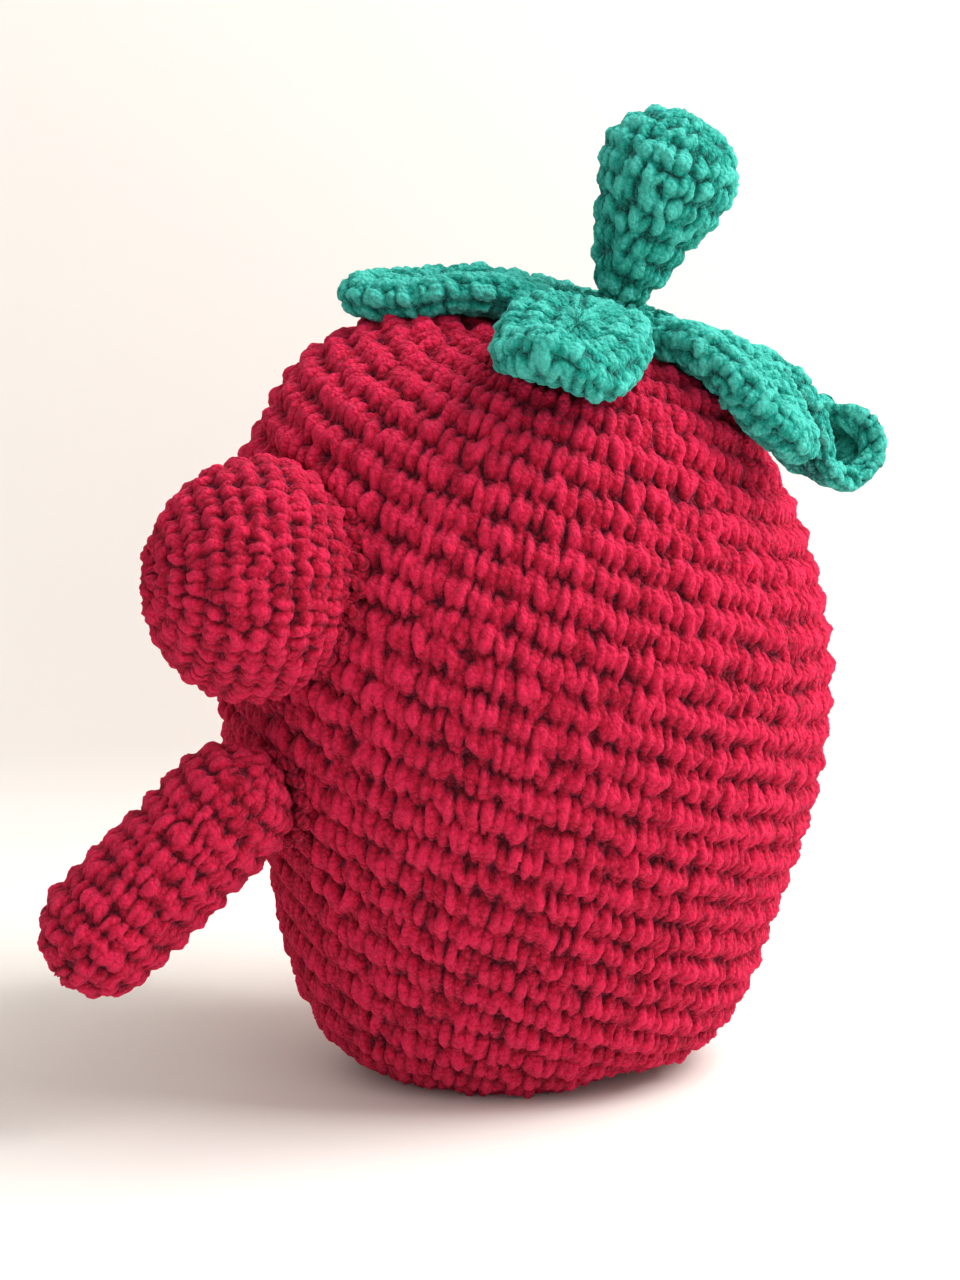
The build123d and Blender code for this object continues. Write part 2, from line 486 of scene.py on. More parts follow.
@dataclass
class Shell:
    """A closed surface made of rings between two poles, the first pole at the top."""

    first: Array
    rings: Array
    last: Array

    def smooth(self, rows: int, columns: int) -> Shell:
        """The same form with more rings and more points in each.

        Args:
            rows: steps from pole to pole.
            columns: points round a ring.

        Returns:
            The finer form.
        """
        count = self.rings.shape[1]
        ends = [np.repeat(p[None, None], count, axis=1) for p in (self.first, self.last)]
        past = [np.roll(self.rings[k], count // 2, axis=0)[None] for k in (0, -1)]
        stack = np.concatenate([past[0], ends[0], self.rings, ends[1], past[1]])
        tall = hermite(stack, np.linspace(1, len(stack) - 2, rows + 1)[1:-1], closed=False)
        wide = hermite(tall.swapaxes(0, 1), np.arange(columns) * count / columns, closed=True)
        return Shell(self.first, wide.swapaxes(0, 1), self.last)

    def normals(self) -> Array:
        """The outward direction at every point of the rings.

        Returns:
            A unit vector for each point.
        """
        ends = [np.repeat(p[None, None], self.rings.shape[1], axis=1) for p in (self.first, self.last)]
        stack = np.concatenate([ends[0], self.rings, ends[1]])
        down = stack[2:] - stack[:-2]
        round_ = np.roll(self.rings, -1, axis=1) - np.roll(self.rings, 1, axis=1)
        return unit(np.cross(down, round_))

    def grown(self, amount: Array | float) -> Shell:
        """The form moved outward by that much, with its poles.

        Args:
            amount: millimetres, one for all or one for each point of the rings.

        Returns:
            The moved form.
        """
        out = self.normals()
        rings = self.rings + out * (amount if np.isscalar(amount) else amount[..., None])
        ends = []
        for pole, row in ((self.first, 0), (self.last, -1)):
            step = amount if np.isscalar(amount) else float(np.mean(amount[row]))
            ends.append(pole + unit(out[row].mean(axis=0)) * step)
        return Shell(ends[0], rings, ends[1])

    def faces(self, offset: int = 0, inward: bool = False) -> list[tuple[int, ...]]:
        """The form's faces, for points listed as the first pole, the rings and the last pole.

        Args:
            offset: the index of the first pole.
            inward: True for an inner wall, whose faces look in.

        Returns:
            Quads between the rings and triangles at the poles.
        """
        rows, columns = self.rings.shape[:2]
        index = offset + 1 + np.arange(rows * columns).reshape(rows, columns)
        right = np.roll(index, -1, axis=1)
        quads = np.stack([index[:-1], index[1:], right[1:], right[:-1]], axis=-1).reshape(-1, 4)
        end = offset + 1 + rows * columns
        top = np.stack([np.full(columns, offset), index[0], right[0]], axis=-1)
        bottom = np.stack([index[-1], np.full(columns, end), right[-1]], axis=-1)
        if inward:
            quads, top, bottom = quads[:, ::-1], top[:, ::-1], bottom[:, ::-1]
        return [*map(tuple, quads.tolist()), *map(tuple, top.tolist()), *map(tuple, bottom.tolist())]

    def points(self) -> Array:
        """The first pole, the rings and the last pole, in one list.

        Returns:
            The points, in the order that faces() counts in.
        """
        return np.concatenate([self.first[None], self.rings.reshape(-1, 3), self.last[None]])


def new_object(name: str, points: Array, faces: list[tuple[int, ...]]) -> bpy.types.Object:
    """Makes a smooth-shaded object at the origin from points in millimetres.

    Args:
        name: the object's name.
        points: its points.
        faces: its faces, by the index of each point.

    Returns:
        The object.
    """
    mesh = bpy.data.meshes.new(name)
    mesh.from_pydata((points * MM).tolist(), [], faces)
    mesh.polygons.foreach_set("use_smooth", np.ones(len(mesh.polygons), bool))
    mesh.update()
    made = bpy.data.objects.new(name, mesh)
    bpy.context.scene.collection.objects.link(made)
    return made


def shade_stitches(piece: bpy.types.Object, shade: Array) -> None:
    """Stores the yarn's painted shade and highlight at each point, for its material.

    Args:
        piece: the piece.
        shade: 0 for painted shade in the grooves to about 1 for painted highlight on the lobes, one for each
            point.
    """
    stored = piece.data.attributes.new("stitch", "FLOAT", "POINT")
    stored.data.foreach_set("value", shade.reshape(-1).astype(np.float32))


def inflate(form: Shell, sewn: Array, pressure: float, cap: float) -> Shell:
    """Puffs a cover out with its stuffing, by cloth simulation.

    Args:
        form: the cover before it is stuffed.
        sewn: for each point of the rings, 1 where it is held and 0 where it is free.
        pressure: the stuffing's push.
        cap: the furthest that a point may move.

    Returns:
        The stuffed form.
    """
    start = form.points()
    cover = new_object("cover being stuffed", start, form.faces())
    held = cover.vertex_groups.new(name="sewn")
    weights = np.concatenate([[1.0], sewn.reshape(-1), [1.0]])
    for level in (0.5, 1.0):
        held.add(np.flatnonzero(weights >= level).tolist(), level, "REPLACE")
    cloth = cover.modifiers.new("stuffing", "CLOTH")
    cloth.settings.quality = 5
    cloth.settings.mass = 0.4
    cloth.settings.tension_stiffness = 12
    cloth.settings.compression_stiffness = 12
    cloth.settings.bending_stiffness = 1.5
    cloth.settings.use_pressure = True
    cloth.settings.uniform_pressure_force = pressure
    cloth.settings.vertex_group_mass = "sewn"
    cloth.settings.effector_weights.gravity = 0
    scene = bpy.context.scene
    for frame in range(1, 21):
        scene.frame_set(frame)
    stuffed = cover.evaluated_get(bpy.context.evaluated_depsgraph_get())
    moved = np.zeros(len(start) * 3)
    stuffed.data.vertices.foreach_get("co", moved)
    step = moved.reshape(-1, 3) / MM - start
    length = np.linalg.norm(step, axis=1, keepdims=True)
    step *= np.minimum(1, cap / np.maximum(length, 1e-9))
    scene.frame_set(1)
    bpy.data.objects.remove(cover, do_unlink=True)
    done = start + step
    return Shell(done[0], done[1:-1].reshape(form.rings.shape), done[-1])


@dataclass
class Crochet:
    """Rounds of single crochet: each stitch is two puffy lobes side by side, on a rope-like ridge.

    Attributes:
        rounds: rounds from pole to pole.
        stitch: a stitch's width in millimetres.
        relief: how far the lobes stand out, in millimetres, as ridge does for a whole round,
            lumpiness for the clumps of pile and fuzz for single points.
        slant: how far the lobes lean, in stitches for each round.
        lobe_long: half a lobe's height, in rounds.
        lobe_wide: half a lobe's width, in stitches.
        unevenness: how much lobes differ.
        clump: the size of a clump of pile in millimetres.
        wander: how far the grid of stitches is pulled about, in stitches.
        per_round: rings of the mesh in each round.
        columns: points round a ring; 0 for eleven in each stitch of the longest round.
        seed: where the random numbers start.
        fewest: the fewest stitches in a round.
    """

    rounds: int
    stitch: float = 6.8
    relief: float = 2.4
    ridge: float = 0.45
    slant: float = 0.1
    lobe_long: float = 0.55
    lobe_wide: float = 0.31
    unevenness: float = 0.2
    lumpiness: float = 0.6
    clump: float = 2.3
    fuzz: float = 0.08
    wander: float = 0.1
    per_round: int = 8
    columns: int = 0
    seed: int = 1
    fewest: int = 6

    def counts(self, form: Shell) -> Array:
        """How many stitches each round has, from the length of the round.

        Args:
            form: the smooth cover.

        Returns:
            The number of stitches in each round, from the first pole.
        """
        loops = form.smooth(self.rounds * 2, form.rings.shape[1]).rings[::2]
        lengths = np.linalg.norm(np.roll(loops, -1, axis=1) - loops, axis=2).sum(axis=1)
        return np.maximum(self.fewest, np.round(lengths / self.stitch)).astype(int)

    def lobes(self, counts: Array, rows: Array, turns: Array, rng: np.random.Generator) -> Array:
        """The height of the yarn at each point.

        Args:
            counts: stitches in each round.
            rows: for each point, its place from pole to pole, counted in rounds.
            turns: for each point, its place round the form, from 0 to 1.
            rng: the random numbers to draw from.

        Returns:
            Heights from 0 in the grooves to about 1 on the lobes.
        """
        most = 2 * int(counts.max())
        phase = rng.random(self.rounds)
        size = 1 + rng.normal(0, self.unevenness, (self.rounds, most))
        shift = rng.normal(0, self.unevenness * 0.25, (self.rounds, most))
        lift = rng.normal(0, self.unevenness * 0.4, (self.rounds, most))
        lean = self.slant + rng.normal(0, self.unevenness * 0.7, (self.rounds, most))
        best = np.zeros(rows.shape)
        for step in (-1, 0, 1):
            row = np.floor(rows).astype(int) + step
            real = (row >= 0) & (row < self.rounds)
            row = np.clip(row, 0, self.rounds - 1)
            along = rows - row - 0.5
            place = turns * counts[row] + phase[row]
            which = np.floor(place).astype(int)
            across = place - which
            which = which % counts[row]
            for half in (0, 1):
                lobe = 2 * which + half
                side = 2 * half - 1
                middle = 0.5 + side * (0.25 - lean[row, lobe] * along) + shift[row, lobe]
                wide = (across - middle) / self.lobe_wide
                tall = (along - lift[row, lobe]) / self.lobe_long
                puff = np.sqrt(np.maximum(0, 1 - wide**2 - tall**2)) * np.clip(size[row, lobe], 0.6, 1.3)
                best = np.maximum(best, np.where(real, puff, 0))
        return best

    def work(self, name: str, form: Shell, wall: float = 5.0, flat_base: bool = False) -> bpy.types.Object:
        """Works the form in stitches.

        Args:
            name: the piece's name.
            form: the smooth cover.
            wall: the fabric's thickness, down to a plain inner wall; 0 for a solid piece.
            flat_base: True if the piece stands on the floor, which flattens its lowest stitches.

        Returns:
            The crocheted piece, with its "stitch" attribute of painted shade and highlight.
        """
        rng = np.random.default_rng(self.seed)
        counts = self.counts(form)
        columns = self.columns or int(counts.max()) * 11
        rows = self.rounds * self.per_round
        fine = form.smooth(rows, columns)
        at = np.arange(1, rows) / self.per_round
        grain = columns / (2.0 * counts.max())
        wander = [cloud(rng, rows - 1, columns, grain * 0.8, grain * 0.8) for _ in range(2)]
        across = np.arange(columns)[None] / columns + self.wander * wander[1] / counts.max()
        lobes = self.lobes(counts, at[:, None] + self.wander * wander[0], across, rng)
        ridge = np.cos(2 * math.pi * (at - 0.5))[:, None]
        steps = [np.median(np.linalg.norm(np.diff(fine.rings, axis=k), axis=2)) for k in (0, 1)]
        puffs = [
            np.minimum(np.abs(cloud(rng, rows - 1, columns, size / steps[0], size / steps[1])), 0.9)
            for size in (self.clump, self.clump * 0.6)
        ]
        clumps = 0.7 * puffs[0] + 0.45 * puffs[1]
        fuzz = self.fuzz * rng.normal(0, 1, lobes.shape)
        lumps = self.lumpiness * (clumps * 1.6 - 0.8)
        worked = fine.grown(self.relief * (lobes - 0.7) + self.ridge * ridge + lumps + fuzz)
        if flat_base:
            for points in (worked.rings, worked.last):
                points[..., 2] = np.maximum(points[..., 2], CLEAR)
        points, faces = worked.points(), worked.faces()
        # Painted shade in the grooves and between the clumps, painted highlight on the lobes and clumps,
        # following the yarn's height.
        shade = np.concatenate([[0.7], (0.92 * lobes + 0.55 * clumps - 0.12).reshape(-1), [0.7]])
        if wall:
            inner = form.grown(-wall)
            faces += inner.faces(len(points), inward=True)
            points = np.concatenate([points, inner.points()])
            shade = np.concatenate([shade, np.full(len(inner.points()), 0.4)])
        made = new_object(name, points, faces)
        shade_stitches(made, shade)
        LOG.info("%s: %d rounds of %d to %d stitches", name, self.rounds, counts.min(), counts.max())
        return made


def stuffing(
    name: str, form: Shell, depth: float, seed: int, rows: int = 40, columns: int = 64
) -> bpy.types.Object:
    """Lumpy fibrefill that fills a cover.

    Args:
        name: the piece's name.
        form: the smooth cover.
        depth: how far inside the cover's surface it lies.
        seed: where its random lumps start.
        rows: steps from pole to pole.
        columns: points round a ring.

    Returns:
        The stuffing.
    """
    rng = np.random.default_rng(seed)
    fine = form.grown(-depth).smooth(rows, columns)
    lumps = cloud(rng, rows - 1, columns, 4, 4) * 0.5 + cloud(rng, rows - 1, columns, 2, 2) * 0.25
    filled = fine.grown(np.minimum(lumps, 0.3) - 0.3)
    return new_object(name, filled.points(), filled.faces())


def yarn_ring(name: str, path: Array, thick: float, plies: int, seed: int) -> bpy.types.Object:
    """A closed strand of sewing yarn.

    Args:
        name: the piece's name.
        path: points of the closed path it follows.
        thick: the strand's radius.
        plies: how many turns its twist makes.
        seed: where its fuzz starts.

    Returns:
        The strand.
    """
    rng = np.random.default_rng(seed)
    count, around = len(path), 10
    ahead = unit(np.roll(path, -1, axis=0) - np.roll(path, 1, axis=0))
    out = unit(path - path.mean(axis=0))
    side = unit(np.cross(ahead, out))
    out = np.cross(side, ahead)
    angle = np.arange(around) * 2 * math.pi / around
    twist = 2 * math.pi * plies * np.arange(count)[:, None] / count
    radius = thick * (1 + 0.16 * np.cos(2 * (angle[None] - twist)) + rng.normal(0, 0.03, (count, around)))
    ring = (
        path[:, None]
        + out[:, None] * (radius * np.cos(angle))[..., None]
        + side[:, None] * (radius * np.sin(angle))[..., None]
    )
    index = np.arange(count * around).reshape(count, around)
    ahead_i, right = np.roll(index, -1, axis=0), np.roll(index, -1, axis=1)
    faces = np.stack([index, ahead_i, np.roll(right, -1, axis=0), right], axis=-1).reshape(-1, 4)
    made = new_object(name, ring.reshape(-1, 3), list(map(tuple, faces.tolist())))
    # Painted shade in the grooves of the twist, painted highlight on the plies.
    shade_stitches(made, 0.5 + 0.3 * np.cos(2 * (angle[None] - twist)))
    return made


def lathe(profile: Array, place: Array, frame: Array, rows: int, columns: int) -> Shell:
    """Turns a profile about an axis.

    Args:
        profile: distance from the axis and height, from the top pole to the bottom pole.
        place: the axis's origin.
        frame: three unit vectors in rows, the last one the axis.
        rows: steps from pole to pole.
        columns: points round a ring.

    Returns:
        The form.
    """
    line = spaced(profile, rows + 1)
    _, round_ = circle(columns, frame)
    rings = place + line[1:-1, None, :1] * round_[None] + line[1:-1, None, 1:] * frame[2]
    return Shell(place + line[0, 1] * frame[2], rings, place + line[-1, 1] * frame[2])


def frame_about(axis: Array) -> Array:
    """Three unit vectors in rows, right-handed, the last one along the axis.

    Args:
        axis: the axis, of any length.

    Returns:
        The three vectors.
    """
    axis = unit(np.asarray(axis, float))
    across = np.array([1.0, 0, 0]) if abs(axis[0]) < 0.9 else np.array([0, 1.0, 0])
    second = unit(np.cross(axis, across))
    return np.stack([np.cross(second, axis), second, axis])


def fit_out(
    piece: bpy.types.Object,
    node: str,
    finish: bpy.types.Material,
    slot: str,
    flex: tuple[str, Array, Array] | None = None,
) -> None:
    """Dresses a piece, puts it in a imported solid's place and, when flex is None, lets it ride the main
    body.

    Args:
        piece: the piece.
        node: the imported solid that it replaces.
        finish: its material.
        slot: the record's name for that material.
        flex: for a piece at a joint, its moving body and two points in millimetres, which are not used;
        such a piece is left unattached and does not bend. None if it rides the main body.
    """
    piece.data.materials.clear()
    piece.data.materials.append(finish)
    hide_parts(node)
    if flex is None:
        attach(piece, "body")
    else:
        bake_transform(piece)
    LOG.info("%s: %d faces of %s", piece.name, len(piece.data.polygons), slot)


# ---------------------------------------------------------------- sub-assemblies


@dataclass
class Materials:
    """The toy's finishes, each made once."""

    red: bpy.types.Material
    teal: bpy.types.Material
    fill: bpy.types.Material
    eye: bpy.types.Material
    washer: bpy.types.Material

    @classmethod
    def make(cls) -> Materials:
        """Makes every finish.

        Returns:
            The finishes.
        """
        return cls(
            RED_CHENILLE.material(),
            TEAL_CHENILLE.material(),
            FIBREFILL.material(),
            EYE_PLASTIC.material(),
            WASHER_PLASTIC.material(),
        )


@dataclass
class Body:
    """The round body: its side is a run of tangent arcs, and its rounds tilt back at the top."""

    belly_z: float = 115.0
    belly_r: float = 82.0
    base_turn_r: float = 30.0
    lower_r: float = 200.0
    lower_sweep: float = 30.0
    upper_r: float = 140.0
    upper_sweep: float = 27.0
    shoulder_r: float = 40.0
    cap_r: float = 100.0
    crown_tilt: float = 16.3
    base_forward: float = 16.0
    row_lean: float = 0.046
    rounds: int = 35
    firm_rounds: tuple[int, int] = (4, 7)
    fabric: float = 6.6
    eye: tuple[float, float, float] = (14.7, -63.7, 181.0)
    front_sag: tuple[tuple[float, float], ...] = (
        *((0, 0), (3, 2.5), (17, 3), (34, 1), (62, -4.5), (84, -1)),
        *((112, 1), (150, 2.5), (165, 5.5), (178, 8), (199, 8.5), (207, 9)),
    )
    back_sag: tuple[tuple[float, float], ...] = (
        *((0, 0), (4, 2), (20, 3.5), (48, 1.5), (67, 3.5), (92, 4.5)),
        *((109, 5), (132, 4), (151, 2.5), (169, 0.5), (182, 2.5), (200, 1.5)),
    )

    def profile(self) -> Array:
        """Distance from the axis and height, from the pole down to the middle of the base.

        Returns:
            Points of the profile.
        """
        low = (self.belly_r - self.lower_r, self.belly_z)
        high = (self.belly_r - self.upper_r, self.belly_z)

        def spot(centre: tuple[float, float], radius: float, slope: float) -> tuple[float, float]:
            """The point of an arc whose outward direction has that slope in degrees."""
            angle = math.radians(slope)
            return centre[0] + radius * math.cos(angle), centre[1] + radius * math.sin(angle)

        turn = spot(low, self.lower_r - self.base_turn_r, -self.lower_sweep)
        shoulder = spot(high, self.upper_r - self.shoulder_r, self.upper_sweep)
        cap_slope = math.degrees(math.acos(shoulder[0] / (self.cap_r - self.shoulder_r)))
        cap = spot(shoulder, self.shoulder_r - self.cap_r, cap_slope)
        arcs = (
            (cap, self.cap_r, 90, cap_slope),
            (shoulder, self.shoulder_r, cap_slope, self.upper_sweep),
            (high, self.upper_r, self.upper_sweep, 0),
            (low, self.lower_r, 0, -self.lower_sweep),
            (turn, self.base_turn_r, -self.lower_sweep, -90),
        )
        line = [spot(c, r, a) for c, r, start, end in arcs for a in np.linspace(start, end, 40)]
        return np.array([*line, (0, line[-1][1])])

    def crown(self) -> tuple[Array, Array]:
        """The calyx's place on the body, and its frame with the last vector out of the crown.

        Returns:
            The place, and three unit vectors in rows: left, back and out.
        """
        tilt = math.radians(self.crown_tilt)
        centre_z = self.profile()[0, 1] - self.cap_r
        out = np.array([0, math.sin(tilt), math.cos(tilt)])
        back = np.array([0, math.cos(tilt), -math.sin(tilt)])
        place = np.array([0, 0, centre_z]) + out * self.cap_r
        return place, np.stack([[1.0, 0, 0], back, out])

    def reach(self, z: Array) -> Array:
        """The body's radius at a height, and 0 beyond its ends.

        Args:
            z: the heights.

        Returns:
            The radii.
        """
        line = self.profile()[::-1]
        return np.interp(z, line[:, 1], line[:, 0], left=0, right=0)

    def meet(self, start: Array, way: Array, gap: float = 0.0, far: float = 130.0) -> Array:
        """Where rays from inside leave the body.

        Args:
            start: points inside the body.
            way: unit directions.
            gap: how far outside the surface to stop, measured level.
            far: a distance that is certainly outside.

        Returns:
            The points where they leave.
        """
        near, out = np.zeros(start.shape[:-1]), np.full(start.shape[:-1], far)
        for _ in range(30):
            middle = (near + out) / 2
            spot = start + way * middle[..., None]
            inside = np.hypot(spot[..., 0], spot[..., 1]) < self.reach(spot[..., 2]) + gap
            near, out = np.where(inside, middle, near), np.where(inside, out, middle)
        return start + way * near[..., None]

    def form(self, columns: int = 72) -> Shell:
        """The body as rings from the crown, behind its axis, to a base pole in front of it.

        Args:
            columns: points round a ring.

        Returns:
            The smooth body.
        """
        crown, _ = self.crown()
        base = np.array([0, -self.base_forward, 0.0])
        middle, axis = (crown + base) / 2, unit(crown - base)
        across = np.cross(axis, [1.0, 0, 0])
        tilt = np.linspace(0, math.pi, 300)[:, None, None]
        turn = (np.arange(columns) * 2 * math.pi / columns)[None, :, None]
        away = np.cos(turn) * np.array([1.0, 0, 0]) + np.sin(turn) * across
        way = np.cos(tilt) * axis + np.sin(tilt) * away
        lines = self.settle(self.meet(np.broadcast_to(middle, way.shape), way))
        even = np.linspace(0, 1, self.rounds + 1)[1:-1]
        rings = np.zeros((self.rounds - 1, columns, 3))
        for k in range(columns):
            share = even + self.row_lean * math.sin(turn[0, k, 0]) * np.sin(math.pi * even)
            line = spaced(lines[:, k], 600)
            rings[:, k] = hermite(line, share * 599, closed=False)
        return Shell(lines[0, 0], rings, lines[-1, 0] * (1, 1, 0))

    def whip_path(
        self, middle: Array, way: Array, radius: float, reach: tuple[float, float], stitches: int, gap: float
    ) -> Array:
        """The path of whip stitches over the crease between the body and what is sewn on.

        Args:
            middle: the middle of what is sewn on.
            way: the level direction out of the body to it.
            radius: the crease's radius.
            reach: how far a stitch reaches across the crease, and off the body.
            stitches: how many stitches there are.
            gap: the yarn's distance off the body.

        Returns:
            The closed path.
        """
        angle, flat = circle(stitches * 14, frame_about(way))
        wave = stitches * angle
        start = middle - 22 * way + flat * (radius + reach[0] * np.cos(wave))[:, None]
        path = self.meet(start, np.broadcast_to(way, start.shape), gap=gap, far=60.0)
        return path + way * (reach[1] * np.sin(wave))[:, None]

    def settle(self, points: Array) -> Array:
        """Lets the soft body sag: a full front shoulder, a slack front below it, a full low back.

        Args:
            points: points of the plain turned body.

        Returns:
            The points after sagging.
        """
        x, y, z = points[..., 0], points[..., 1], points[..., 2]
        from_axis = np.maximum(np.hypot(x, y), 1)
        front, back = (np.interp(z, *zip(*sag)) for sag in (self.front_sag, self.back_sag))
        front *= fade(-y, 0.1, 0.95, from_axis)
        back *= fade(y, 0.1, 0.95, from_axis)
        on_top = fade(4 - y, 0, 26) * fade(z, 150, 200)
        front *= 1 - fade(z, 186, 199) * (1 - on_top)
        for side in Side:
            eye = np.array(self.eye) * (side.value, 1, 1)
            front *= fade(np.linalg.norm(points - eye, axis=-1), 7, 18)
        push = front + back
        outward = np.stack([x, y, 1.15 * (z - self.belly_z)], axis=-1)
        outward[..., 2] = np.where(z < self.belly_z, 0, outward[..., 2])
        moved = points + unit(outward) * push[..., None]
        hollow = 3.5 * np.exp(-(((y - 30) / 13) ** 2) - (z / 9) ** 2)
        moved[..., 2] = np.maximum(moved[..., 2] + hollow, 0)
        return moved

    def build(self, finishes: Materials, sewn_at: list[tuple[Array, float]]) -> Shell:
        """Makes the cover and the stuffing.

        Args:
            finishes: the toy's materials.
            sewn_at: centre and radius of each place where something is sewn on.

        Returns:
            The body's smooth stuffed form.
        """
        form = self.form()
        held = np.zeros(form.rings.shape[:2])
        for centre, radius in sewn_at:
            held[np.linalg.norm(form.rings - centre, axis=2) < radius] = 1
        held[: self.firm_rounds[0]] = 1
        held[-self.firm_rounds[1] :] = 1
        form = inflate(form, held, pressure=3.0, cap=3.0)
        crochet = Crochet(self.rounds, seed=11, columns=72 * 12, per_round=9)
        cover = crochet.work("body_cover_crochet", form, flat_base=True)
        fill = stuffing("body_fibrefill", form, self.fabric, seed=12, rows=80, columns=120)
        fit_out(cover, "body_cover", finishes.red, "red_chenille")
        fit_out(fill, "body_stuffing", finishes.fill, "fibrefill")
        return form


@dataclass
class Cheek:
    """A stuffed ball sewn to one side of the face."""

    side: Side
    radius: float = 30.0
    reach: float = 92.0
    turn: float = 47.8
    height: float = 145.0
    flatness: float = 0.84
    rounds_turn: float = 22.0
    seam_r: float = 26.4
    swell: float = 0.19
    gap: float = 1.2
    rounds: int = 14

    def way(self) -> Array:
        """The level direction from the body's axis to the ball.

        Returns:
            The unit vector.
        """
        return heading(self.turn, self.side.value)

    def centre(self) -> Array:
        """The ball's centre.

        Returns:
            The point.
        """
        return self.way() * self.reach + np.array([0, 0, self.height])

    def form(self, body: Body, columns: int = 36) -> Shell:
        """A ball whose back is pressed flat on the body.

        Args:
            body: the body it is sewn to.
            columns: points round a ring.

        Returns:
            The smooth ball.
        """
        angle = np.linspace(0, math.pi, 120)
        profile = np.stack([np.sin(angle), np.cos(angle)], axis=1) * self.radius
        axis = heading(self.rounds_turn, self.side.value) + (0, 0, 0.1)
        ball = lathe(profile, self.centre(), frame_about(axis), self.rounds, columns)
        upward = unit(np.array([0, 0, 1.0]) - 0.9 * self.way())
        poles = np.repeat(np.stack([ball.first, ball.last])[:, None], columns, axis=1)
        from_middle = np.concatenate([ball.rings, poles]) - self.centre()
        lean = np.clip(unit(from_middle) @ upward, 0, 1)
        from_middle *= (1 + self.swell * lean**2)[..., None]
        along = from_middle @ self.way()
        shaped = self.centre() + from_middle - ((1 - self.flatness) * along)[..., None] * self.way()
        shaped = self.pressed(shaped, body)
        return Shell(shaped[-2, 0], shaped[:-2], shaped[-1, 0])

    def pressed(self, points: Array, body: Body) -> Array:
        """Points of the ball, with those inside the body pushed out to its surface.

        Args:
            points: points of the ball.
            body: the body it is sewn to.

        Returns:
            The points after pressing.
        """
        depth = np.hypot(points[..., 0], points[..., 1]) < body.reach(points[..., 2]) + self.gap
        out = body.meet(points, np.broadcast_to(self.way(), points.shape), gap=self.gap, far=60.0)
        return np.where(depth[..., None], out, points)

    def build(self, finishes: Materials, body: Body) -> None:
        """Makes the cover, the stuffing and the seam.

        Args:
            finishes: the toy's materials.
            body: the body it is sewn to.
        """
        name = self.side.name.lower()
        form = self.form(body)
        held = (np.linalg.norm(form.rings - self.centre(), axis=2) < self.radius - 1).astype(float)
        form = inflate(form, held, pressure=2.0, cap=1.6)
        seed = 20 + self.side.value
        crochet = Crochet(self.rounds, relief=1.6, ridge=0.4, seed=seed, per_round=8)
        cover = crochet.work(f"cheek_{name}_crochet", form, wall=WALL)
        fill = stuffing(f"cheek_{name}_fibrefill", form, LINING, seed + 2)
        path = body.whip_path(self.centre(), self.way(), self.seam_r, (1.4, 1.2), stitches=26, gap=1.8)
        seam = yarn_ring(f"cheek_{name}_whip_stitches", path, 1.5, 60, seed + 4)
        fit_out(cover, f"cheek_{name}_cover", finishes.red, "red_chenille")
        fit_out(fill, f"cheek_{name}_stuffing", finishes.fill, "fibrefill")
        fit_out(seam, f"cheek_{name}_seam", finishes.red, "sewing_yarn")


@dataclass
class Arm:
    """A stuffed tube with two round ends, sewn on under a cheek."""

    side: Side
    radius: float = 15.5
    length: float = 48.0
    reach: float = 96.4
    turn: float = 45.0
    height: float = 87.0
    fall: float = 43.0
    spread: float = 15.0
    seam_r: float = 11.6
    fullness: float = 1.09
    rounds: int = 14

    def root(self) -> Array:
        """The centre of the sewn end.

        Returns:
            The point.
        """
        return self.out() * self.reach + np.array([0, 0, self.height])

    def out(self) -> Array:
        """The level direction from the body's axis to the sewn end.

        Returns:
            The unit vector.
        """
        return heading(self.turn, self.side.value)

    def way(self) -> Array:
        """The arm's direction, from its sewn end to its tip.

        Returns:
            The unit vector.
        """
        fall = math.radians(self.fall)
        return heading(self.spread, self.side.value) * math.cos(fall) - (0, 0, math.sin(fall))

    def form(self, columns: int = 28) -> Shell:
        """The tube, slightly fuller towards its tip.

        Args:
            columns: points round a ring.

        Returns:
            The smooth tube.
        """
        quarter = np.linspace(0, math.pi / 2, 40)
        tip = np.stack([np.sin(quarter), np.cos(quarter)], axis=1) * self.radius
        foot = tip[::-1] * (1, -1)
        profile = np.concatenate([tip + (0, self.length), foot])
        bow = np.sin(np.clip(profile[:, 1] / self.length, 0, 1) * math.pi)
        profile[:, 0] *= self.fullness - 0.02 * bow
        return lathe(profile, self.root(), frame_about(self.way()), self.rounds, columns)

    def build(self, finishes: Materials, body: Body) -> None:
        """Makes the cover, the stuffing and the seam.

        Args:
            finishes: the toy's materials.
            body: the body it is sewn to.
        """
        name = self.side.name.lower()
        form = self.form()
        held = (np.linalg.norm(form.rings - self.root(), axis=2) < self.radius + 2).astype(float)
        form = inflate(form, held, pressure=2.0, cap=1.2)
        seed = 40 + self.side.value
        crochet = Crochet(self.rounds, relief=1.45, ridge=0.35, unevenness=0.25, seed=seed, per_round=10)
        cover = crochet.work(f"arm_{name}_crochet", form, wall=WALL)
        fill = stuffing(f"arm_{name}_fibrefill", form, LINING, seed + 2)
        path = body.whip_path(self.root(), self.out(), self.seam_r, (0.9, 0.9), stitches=14, gap=1.9)
        seam = yarn_ring(f"arm_{name}_whip_stitches", path, 1.5, 36, seed + 4)
        flex = f"arm_{name}", self.root() - self.way() * 6, self.root() + self.way() * 16
        fit_out(cover, f"arm_{name}_cover", finishes.red, "red_chenille", flex)
        fit_out(fill, f"arm_{name}_stuffing", finishes.fill, "fibrefill", flex)
        fit_out(seam, f"arm_{name}_seam", finishes.red, "sewing_yarn")


